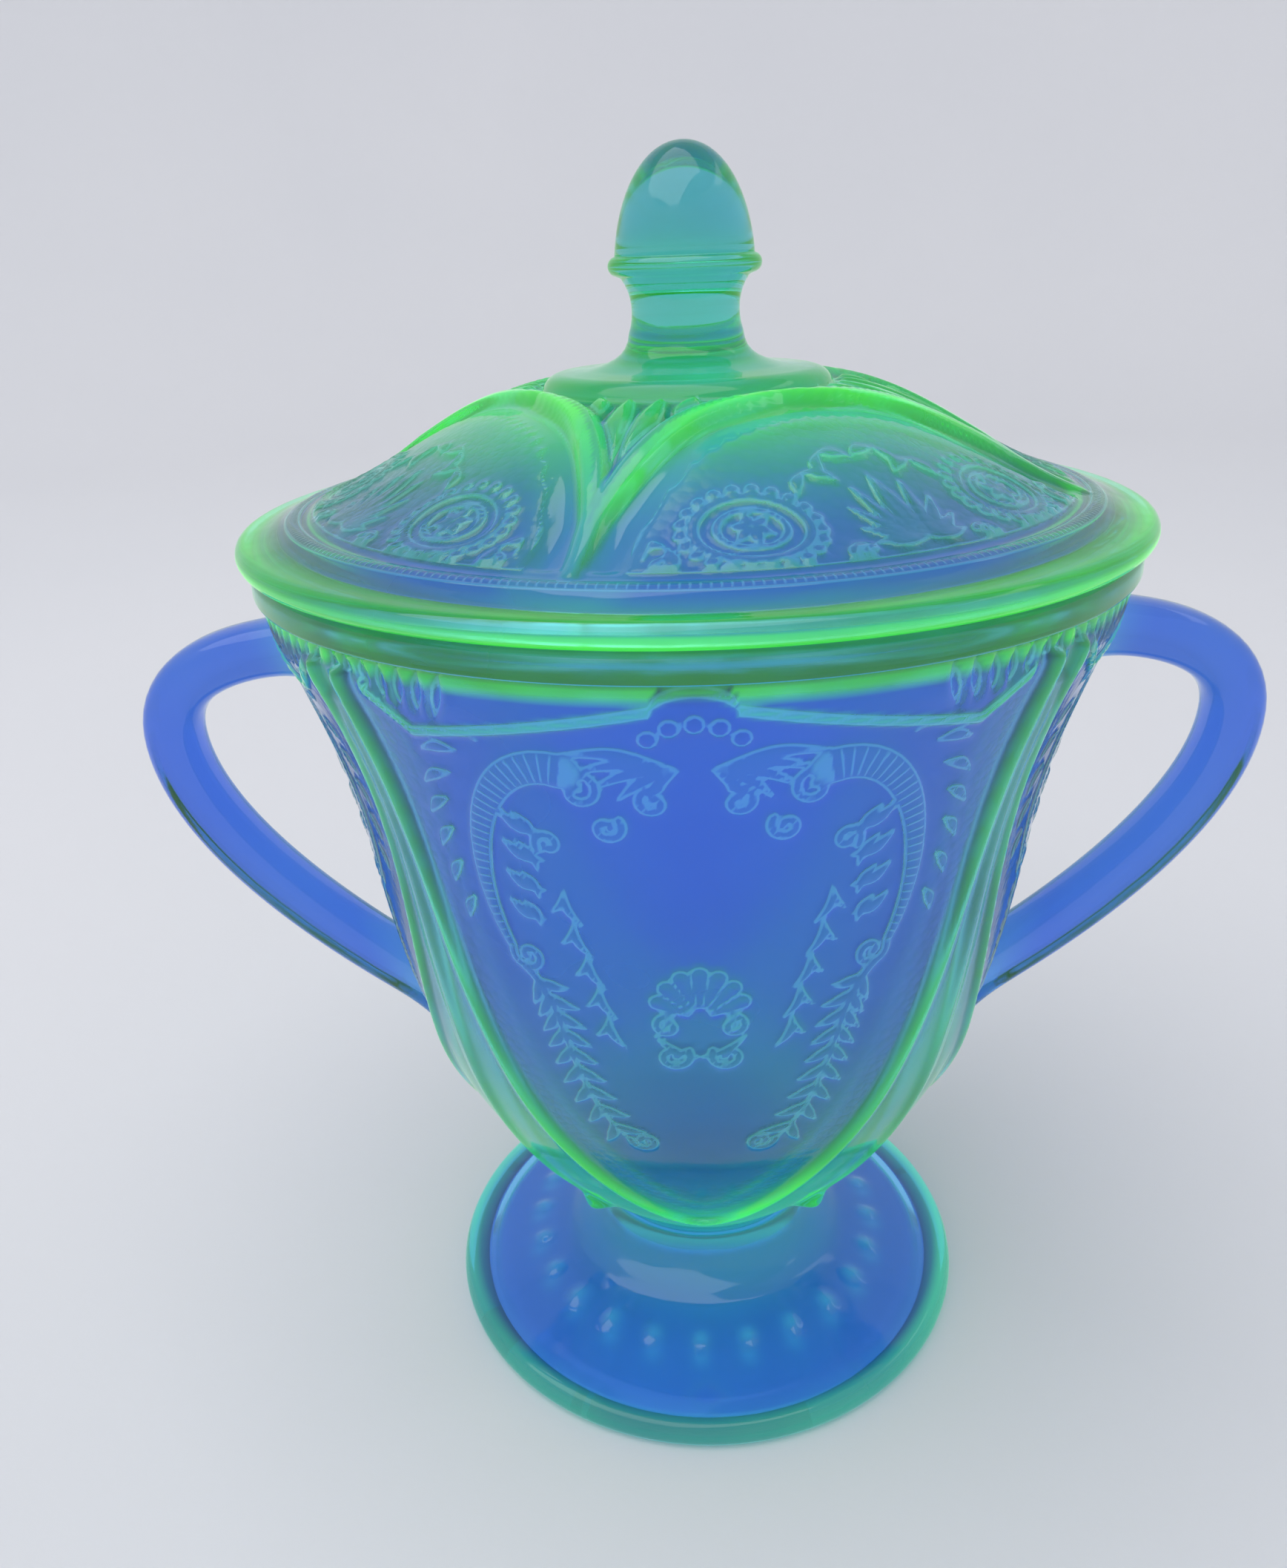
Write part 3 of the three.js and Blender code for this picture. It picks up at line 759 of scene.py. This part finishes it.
def handle_line():
    """The middle line of the right-hand handle, from inside the wall round to inside the wall."""
    bottom = HANDLE_TOP - HANDLE_SPAN
    start = np.array([cup_radius(HANDLE_TOP) - HANDLE_ROOT, HANDLE_TOP])
    widest = np.array([HANDLE_OUTSIDE - HANDLE_THICKNESS / 2, HANDLE_TOP - 0.22 * HANDLE_SPAN])
    end = np.array([cup_radius(bottom) - HANDLE_ROOT, bottom])
    reach, fall = widest[0] - start[0], widest[1] - end[1]
    over = bezier(
        start, [start[0] + 0.75 * reach, HANDLE_TOP + 0.4],
        [widest[0], widest[1] + 0.56 * (HANDLE_TOP - widest[1])], widest)
    down = bezier(
        widest, [widest[0], widest[1] - 0.34 * fall],
        [end[0] + 0.42 * fall, end[1] + 0.27 * fall], end)
    return respaced(np.concatenate([over, down[1:]]), HANDLE_STEP)


def squared(value):
    """Pulls the section of a handle from round towards square."""
    return np.sign(value) * np.abs(value) ** HANDLE_SQUARENESS


def handle_mesh(side):
    """A squarish oval swept along the loop, swelling into a soft root at each end."""
    line = handle_line()
    along = np.gradient(line, axis=0)
    along /= np.linalg.norm(along, axis=1)[:, None]
    across = np.stack([-along[:, 1], along[:, 0]], -1)
    walked = np.concatenate([[0], np.cumsum(np.linalg.norm(np.diff(line, axis=0), axis=1))])
    to_end = np.minimum(walked, walked[-1] - walked)
    swell = 1 + HANDLE_SWELL * np.exp(-((to_end / HANDLE_SWELL_LENGTH) ** 2))
    corners = HANDLE_CORNERS
    turn = 2 * np.pi * np.arange(corners) / corners
    flat, deep = squared(np.cos(turn)), squared(np.sin(turn))
    points = []
    for i, (place, out) in enumerate(zip(line, across)):
        ring = place + swell[i] * HANDLE_THICKNESS / 2 * flat[:, None] * out
        points.append(np.stack(
            [side * ring[:, 0], swell[i] * HANDLE_WIDTH / 2 * deep, ring[:, 1]], -1))
    points = np.concatenate(points)
    faces = []
    rings = len(line)
    for i in range(rings - 1):
        for j in range(corners):
            k = (j + 1) % corners
            quad = [i * corners + j, i * corners + k, (i + 1) * corners + k, (i + 1) * corners + j]
            faces.append(quad[::-side])
    faces.append(list(range(corners))[::side])
    faces.append([(rings - 1) * corners + j for j in range(corners)][::-side])
    return points, faces


def nub_mesh(side, height):
    """The drop of glass in the corner under one end of a handle."""
    profile = arc([0, 0], NUB_RADIUS, -90, 90, 17) * [0.9, 1.15]
    points, faces = turned_mesh(profile, columns=32)
    middle = [side * (cup_radius(height) + NUB_OUT), 0, height]
    return points + middle, faces


def join(target, points, faces):
    """Fuse another closed mesh into the target."""
    tool = make_object("tool", points, faces)
    modifier = target.modifiers.new("fuse", "BOOLEAN")
    modifier.operation = "UNION"
    modifier.solver = "MANIFOLD"
    modifier.object = tool
    graph = bpy.context.evaluated_depsgraph_get()
    fused = bpy.data.meshes.new_from_object(target.evaluated_get(graph))
    target.modifiers.clear()
    old = target.data
    target.data = fused
    bpy.data.meshes.remove(old)
    bpy.data.objects.remove(tool)


FIELDS = {
    "glow": 0.03, "edge": BLANK, "phase": 0.0, "hatched": 0.0, "lace": 0.0, "wear": 0.0,
    "pale": 0.0, "deep": 0.0,
}


def spread(fields, where, details):
    """Write the details of the points that where picks into the fields."""
    for name, values in details.items():
        if name in fields:
            fields[name][where] = values


def add_fields(piece, describe):
    """Store on every point what describe(fields, angle, radius, height, y) says of it, for the
    material to read as attributes."""
    mesh = piece.data
    flat = np.empty(len(mesh.vertices) * 3, np.float32)
    mesh.vertices.foreach_get("co", flat)
    x, y, z = (flat.reshape(-1, 3) / MM).astype(float).T
    fields = {name: np.full(x.shape, value) for name, value in FIELDS.items()}
    describe(fields, np.arctan2(x, -y), np.hypot(x, y), z, y)
    for name, values in fields.items():
        attribute = mesh.attributes.new(name, "FLOAT", "POINT")
        attribute.data.foreach_set("value", values.astype(np.float32))


BOWL_SKIN = 1.2         # how far under the outside of the cup a point still counts as on it
LID_SKIN = 1.4          # the same for the top of the dome
LIP_WIDTH = 1.6
HANDLE_START = 2.2      # how far out from the wall a handle's own look begins
HANDLES_ABOVE = 30      # no handle comes lower than this
# how green the rim, the crown and the handles are, and how much painted green glow they give off
RIM_GLOW = 0.28
CROWN_GLOW = 0.28
HANDLE_GLOW = 0.06


def describe_bowl(fields, angle, radius, height, y):
    wall = cup_radius(height)
    handle = (
        (np.abs(y) < 0.75 * HANDLE_WIDTH) & (radius > wall + HANDLE_START)
        & (height > HANDLES_ABOVE))
    on_foot = height < FOOT_HEIGHT - 1
    on_cup = (
        (height > CUP_BOTTOM - 1) & (height < COLLAR_BASE) & (radius > wall - BOWL_SKIN) & ~handle)
    within = ~on_cup & (height > CUP_BOTTOM) & (radius < wall - BOWL_SKIN)
    spread(fields, on_cup, cup_details(angle[on_cup], radius[on_cup], height[on_cup]))
    spread(fields, on_foot, foot_details(angle[on_foot], radius[on_foot], height[on_foot]))
    # painted green glow, together with the glass's green, on the rim, inside the cup and on the
    # handles
    fields["glow"] = np.where(height > COLLAR_BASE - 0.3, RIM_GLOW, fields["glow"])
    fields["glow"][within] = 0.02 + 0.26 * smooth_step(34, 23, height[within])
    fields["wear"][within] = 1.0
    fields["glow"][handle] = HANDLE_GLOW
    fields["deep"][handle] = smooth_step(HANDLE_START, 8, (radius - wall)[handle])
    # painted light: the nubs are made paler and given a little light
    for at in NUB_HEIGHTS:
        away = np.hypot(np.hypot(radius - cup_radius(at) - NUB_OUT, y), height - at)
        nub = smooth_step(5.6, 3.6, away) * (radius > wall + 0.6)
        fields["pale"] = np.maximum(fields["pale"], 0.55 * nub)
    fields["wear"][on_foot & (radius < STEM_RADIUS + 18) & (height < foot_top(radius) - 1.5)] = 0.4


def describe_lid(fields, angle, radius, height, y):
    top = dome_top(radius)
    on_lip = radius >= LIP_RADIUS - LIP_WIDTH
    on_top = (height > top - LID_SKIN) & (radius > CROWN_RADIUS - 0.5) & ~on_lip
    on_crown = (height > CROWN_BASE) & (radius <= CROWN_RADIUS)
    on_finial = height > CROWN_TOP + 1
    spread(fields, on_top, lid_details(angle[on_top], radius[on_top], height[on_top]))
    # painted green glow, together with the glass's green, on the lip, the crown and the finial
    lip = 0.2 + 0.7 * smooth_step(SEAT_HEIGHT + 1.9, SEAT_HEIGHT + 1.2, height)
    knob = smooth_step(CROWN_TOP + NECK_HEIGHT + 1, CROWN_TOP + NECK_HEIGHT + 5, height)
    fields["glow"][on_lip] = lip[on_lip]
    fields["glow"][on_crown] = CROWN_GLOW
    fields["glow"][on_finial] = (0.22 - 0.1 * knob)[on_finial]
    beneath = (height < top - LID_SKIN) & (radius < SEAT_RADIUS)
    fields["wear"][beneath] = 1.0


# ---- Materials ------------------------------------------------------------------------------------


class Nodes:
    """Short hands for laying out a material's nodes."""

    def __init__(self, name):
        self.material = bpy.data.materials.new(name)
        self.material.use_nodes = True
        self.tree = self.material.node_tree
        self.tree.nodes.clear()

    def add(self, kind, settings=None, **inputs):
        node = self.tree.nodes.new(kind)
        for key, value in (settings or {}).items():
            setattr(node, key, value)
        for key, value in inputs.items():
            self.feed(node.inputs[key.replace("_", " ")], value)
        return node

    def feed(self, socket, value):
        if isinstance(value, bpy.types.NodeSocket):
            self.tree.links.new(value, socket)
        else:
            socket.default_value = value

    def mix(self, factor, a, b, blend="MIX"):
        node = self.tree.nodes.new("ShaderNodeMix")
        node.data_type = "RGBA"
        node.blend_type = blend
        self.feed(node.inputs["Factor"], factor)
        self.feed(node.inputs["A"], a)
        self.feed(node.inputs["B"], b)
        return node.outputs["Result"]

    def attribute(self, name):
        return self.add("ShaderNodeAttribute", {"attribute_name": name}).outputs["Fac"]

    def ramp(self, value, low, high, at_low, at_high):
        """at_low below low, at_high above high, and a smooth change between."""
        node = self.tree.nodes.new("ShaderNodeMapRange")
        node.interpolation_type = "SMOOTHSTEP"
        self.feed(node.inputs["Value"], value)
        self.feed(node.inputs["From Min"], low)
        self.feed(node.inputs["From Max"], high)
        self.feed(node.inputs["To Min"], at_low)
        self.feed(node.inputs["To Max"], at_high)
        return node.outputs["Result"]

    def math(self, operation, a, b=0.0):
        node = self.tree.nodes.new("ShaderNodeMath")
        node.operation = operation
        self.feed(node.inputs[0], a)
        self.feed(node.inputs[1], b)
        return node.outputs[0]


def rgb(red, green, blue):
    return (red, green, blue, 1.0)


GLASS_IOR = 1.52
PALE_TINT = rgb(0.6, 0.88, 1.0)         # where the pattern's lines scatter light, and painted light where the foot and the nubs are made paler
DOT_TINT = rgb(0.5, 0.85, 0.85)
DEEP_TINT = rgb(0.6, 0.45, 1.0)         # multiplied into the blue of the handles and the foot
# painted light given off along the outlines and hatching of the pattern
LINE_LIGHT = rgb(0.07, 0.32, 0.3)
PALE_LIGHT = rgb(0.02, 0.11, 0.2)       # painted light, added where the foot and the nubs are made paler
FINEST = 0.0001                         # depth of the material's bumps, in metres


def uranium_glass(name, thin, thick, painted_glow_colour, depth_tint, depth):
    """Pressed glass that lets blue through where it is thin, goes green where it is thick, gives off
    a painted green glow where it is green, and has the finest lines of the pattern and a stipple
    between them."""
    nodes = Nodes(name)
    glow = nodes.attribute("glow")
    lace = nodes.attribute("lace")
    place = nodes.add("ShaderNodeTexCoord").outputs["Object"]
    streaks = nodes.add("ShaderNodeTexNoise", Vector=place, Scale=38.0, Detail=2.0)
    ripple = nodes.add("ShaderNodeTexNoise", Vector=place, Scale=160.0, Detail=1.0)
    stipple = nodes.add("ShaderNodeTexVoronoi", Vector=place, Scale=820.0)
    # outlines of what is drawn, and hatching
    outline = nodes.ramp(nodes.math("ABSOLUTE", nodes.attribute("edge")), 0.05, 0.22, 1.0, 0.0)
    hatch = nodes.ramp(nodes.math("PINGPONG", nodes.attribute("phase"), 0.5), 0.02, 0.2, 1.0, 0.0)
    hatch = nodes.math("MULTIPLY", hatch, nodes.attribute("hatched"))
    line = nodes.math("MAXIMUM", outline, hatch)
    dots = nodes.math("MULTIPLY", nodes.math("SUBTRACT", 0.8, stipple.outputs["Distance"]), lace)
    # colour, and painted light
    uneven = nodes.ramp(streaks.outputs["Fac"], 0.25, 0.75, 0.75, 1.25)
    amount = nodes.math("MINIMUM", nodes.math("MULTIPLY", glow, uneven), 1.0)
    tint = nodes.mix(amount, thin, thick)
    paler = nodes.math("MAXIMUM", nodes.math("MULTIPLY", line, 0.4), nodes.attribute("pale"))
    tint = nodes.mix(paler, tint, PALE_TINT)
    tint = nodes.mix(nodes.math("MULTIPLY", dots, 0.18), tint, DOT_TINT)
    tint = nodes.mix(nodes.attribute("deep"), tint, DEEP_TINT, "MULTIPLY")
    # painted light: a green glow where the glass is green, light along the pattern's lines, and a
    # pale light where the glass is made paler
    light = nodes.mix(amount, rgb(0, 0, 0), painted_glow_colour)
    light = nodes.mix(nodes.math("MULTIPLY", line, 0.3), light, LINE_LIGHT)
    light = nodes.mix(nodes.attribute("pale"), light, PALE_LIGHT, "ADD")
    # surface
    height = nodes.math("ADD", nodes.math("MULTIPLY", line, 0.3), nodes.math("MULTIPLY", dots, 0.4))
    height = nodes.math("ADD", height, nodes.math("MULTIPLY", ripple.outputs["Fac"], 0.7))
    surface = nodes.add("ShaderNodeBump", Strength=1.0, Distance=FINEST, Height=height)
    rough = nodes.ramp(streaks.outputs["Fac"], 0.2, 0.8, 0.04, 0.1)
    rough = nodes.math("ADD", rough, nodes.math("MULTIPLY", lace, 0.12))
    rough = nodes.math("ADD", rough, nodes.math("MULTIPLY", nodes.attribute("wear"), 0.22))
    glass = nodes.add(
        "ShaderNodeBsdfPrincipled",
        Base_Color=tint,
        Roughness=rough,
        IOR=GLASS_IOR,
        Normal=surface.outputs["Normal"],
        Transmission_Weight=1.0,
        Emission_Color=light,
        Emission_Strength=1.0,
    )
    absorb = nodes.add("ShaderNodeVolumeAbsorption", Color=depth_tint, Density=depth)
    output = nodes.add("ShaderNodeOutputMaterial")
    nodes.feed(output.inputs["Surface"], glass.outputs["BSDF"])
    nodes.feed(output.inputs["Volume"], absorb.outputs["Volume"])
    return nodes.material


def studio_material():
    nodes = Nodes("studio_paper")
    place = nodes.add("ShaderNodeTexCoord").outputs["Object"]
    fibre = nodes.add("ShaderNodeTexNoise", Vector=place, Scale=900.0, Detail=4.0)
    cloud = nodes.add("ShaderNodeTexNoise", Vector=place, Scale=3.0, Detail=2.0)
    tone = nodes.mix(cloud.outputs["Fac"], rgb(0.74, 0.75, 0.78), rgb(0.8, 0.8, 0.82))
    bump = nodes.add("ShaderNodeBump", Strength=0.08, Distance=0.0003, Height=fibre.outputs["Fac"])
    paper = nodes.add(
        "ShaderNodeBsdfPrincipled", Base_Color=tone, Roughness=0.85, Normal=bump.outputs["Normal"])
    output = nodes.add("ShaderNodeOutputMaterial")
    nodes.feed(output.inputs["Surface"], paper.outputs["BSDF"])
    return nodes.material


# ---- The camera, the studio and its light ---------------------------------------------------------

CAMERA_PLACE = (0.0, -0.1478, 0.1428)
CAMERA_TILT = 23.58       # degrees down
CAMERA_PAN = -2.65        # degrees towards +X
CAMERA_ROLL = -2.25
CAMERA_LENS = 28.1


def make_camera():
    tilt, pan, roll = (math.radians(a) for a in (CAMERA_TILT, CAMERA_PAN, CAMERA_ROLL))
    forward = Vector((
        math.sin(pan) * math.cos(tilt), math.cos(pan) * math.cos(tilt), -math.sin(tilt)))
    level = Vector((math.cos(pan), -math.sin(pan), 0))
    upright = level.cross(forward)
    right = level * math.cos(roll) + upright * math.sin(roll)
    up = upright * math.cos(roll) - level * math.sin(roll)
    data = bpy.data.cameras.new("camera")
    data.lens = CAMERA_LENS
    data.sensor_width = 36.0
    data.clip_start = 0.005
    camera = bpy.data.objects.new("camera", data)
    turn = Matrix((right, up, -forward)).transposed().to_4x4()
    camera.matrix_world = Matrix.Translation(CAMERA_PLACE) @ turn
    bpy.context.scene.collection.objects.link(camera)
    bpy.context.scene.camera = camera


def make_studio():
    """A round floor that curves up into a wall on every side."""
    floor_radius, cove, height = 900.0, 500.0, 1500.0
    curve = arc([floor_radius, cove], cove, -90, 0, 24)
    profile = np.concatenate([
        [[0, 0]], respaced([[60, 0], [floor_radius, 0]], 120), curve[1:],
        [[floor_radius + cove, height]]])
    columns = 96
    angle = np.linspace(0, 2 * np.pi, columns, endpoint=False)
    points = [[0, 0, 0]]
    for radius, z in profile[1:]:
        points += [[radius * math.sin(a), -radius * math.cos(a), z] for a in angle]
    faces = [[0, 1 + i, 1 + (i + 1) % columns] for i in range(columns)]
    for row in range(len(profile) - 2):
        start = 1 + row * columns
        for i in range(columns):
            j = (i + 1) % columns
            faces.append([start + i, start + columns + i, start + columns + j, start + j])
    floor = make_object("studio_floor", points, faces)
    floor.data.materials.append(studio_material())
    for face in floor.data.polygons:
        face.use_smooth = True


MIDDLE_OF_BOWL = Vector((0, 0, 0.08))


def softbox(name, place, size, power, colour=(1, 1, 1)):
    data = bpy.data.lights.new(name, "AREA")
    data.shape = "RECTANGLE"
    data.size, data.size_y = size
    data.energy = power
    data.color = colour
    lamp = bpy.data.objects.new(name, data)
    lamp.location = place
    aim = MIDDLE_OF_BOWL - Vector(place)
    lamp.rotation_euler = aim.to_track_quat("-Z", "Y").to_euler()
    bpy.context.scene.collection.objects.link(lamp)


WORLD_LIGHT = 0.53
OVERHEAD_WATTS = 14.0
SIDE_WATTS = 4.0


def light_studio():
    world = bpy.data.worlds.new("world")
    world.use_nodes = True
    background = world.node_tree.nodes["Background"]
    background.inputs["Color"].default_value = rgb(0.93, 0.95, 1.0)
    background.inputs["Strength"].default_value = WORLD_LIGHT
    bpy.context.scene.world = world
    softbox("overhead_softbox", (-0.35, -0.3, 1.5), (1.8, 1.8), OVERHEAD_WATTS)
    softbox("side_softbox", (1.5, 0.4, 0.9), (1.2, 1.2), SIDE_WATTS, (0.95, 0.97, 1.0))


# ---- Putting it together --------------------------------------------------------------------------


def finish_piece(piece, body, nodes, material):
    for face in piece.data.polygons:
        face.use_smooth = True
    piece.data.materials.clear()
    piece.data.materials.append(material)
    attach(piece, body)
    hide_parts(*nodes)


def make_bowl():
    bowl = make_object("bowl_glass", *turned_mesh(bowl_profile(), bowl_push))
    for side in (1, -1):
        join(bowl, *handle_mesh(side))
        for height in NUB_HEIGHTS:
            join(bowl, *nub_mesh(side, height))
    add_fields(bowl, describe_bowl)
    glass = uranium_glass(
        "uranium_glass_bowl",
        thin=rgb(0.21, 0.4, 0.98),
        thick=rgb(0.3, 0.85, 0.4),
        painted_glow_colour=rgb(0.05, 0.52, 0.03),
        depth_tint=rgb(0.45, 0.82, 0.9),
        depth=110.0,
    )
    finish_piece(
        bowl, "bowl", ("bowl", "foot", "handle_left", "handle_right"), glass)


def make_lid():
    lid = make_object("lid_glass", *turned_mesh(lid_profile(), lid_push))
    add_fields(lid, describe_lid)
    glass = uranium_glass(
        "uranium_glass_lid",
        thin=rgb(0.17, 0.42, 0.84),
        thick=rgb(0.35, 0.85, 0.4),
        painted_glow_colour=rgb(0.05, 0.52, 0.03),
        depth_tint=rgb(0.45, 0.86, 0.8),
        depth=110.0,
    )
    finish_piece(lid, "lid", ("lid", "finial"), glass)


make_camera()
make_studio()
light_studio()
make_bowl()
make_lid()
bpy.context.scene.view_settings.view_transform = "Standard"
